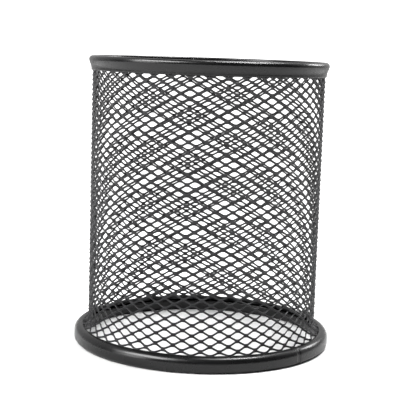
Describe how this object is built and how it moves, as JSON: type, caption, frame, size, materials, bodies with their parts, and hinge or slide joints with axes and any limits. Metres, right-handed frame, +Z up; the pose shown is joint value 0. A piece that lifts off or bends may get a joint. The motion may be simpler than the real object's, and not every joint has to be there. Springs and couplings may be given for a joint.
{
  "type": "pen holder cup",
  "caption": "Round black expanded-metal pen cup, standing mouth down on its wide rolled ring, with a countersunk mesh floor in the folded rim at the top.",
  "frame": {"origin": "centre of the mouth ring's base, on the surface that the cup stands on", "axes": "+Z up along the cup's axis, from the open mouth to the floor; -Y is the side that the picture shows"},
  "size_m": [0.0908, 0.0908, 0.1],
  "materials": {
    "powder_coated_mesh": "satin black powder coat",
    "powder_coated_ring": "satin black powder coat",
    "powder_coated_rim": "semi-gloss black powder coat",
    "powder_coated_weld": "black powder coat over a weld"
  },
  "bodies": {
    "root": {"wall_mesh": "powder_coated_mesh", "mouth_ring": "powder_coated_ring", "mouth_ring_weld": "powder_coated_weld", "floor_mesh": "powder_coated_mesh", "floor_rim": "powder_coated_rim", "floor_rim_weld": "powder_coated_weld", "seam_welds": "powder_coated_weld"}
  },
  "joints": []
}
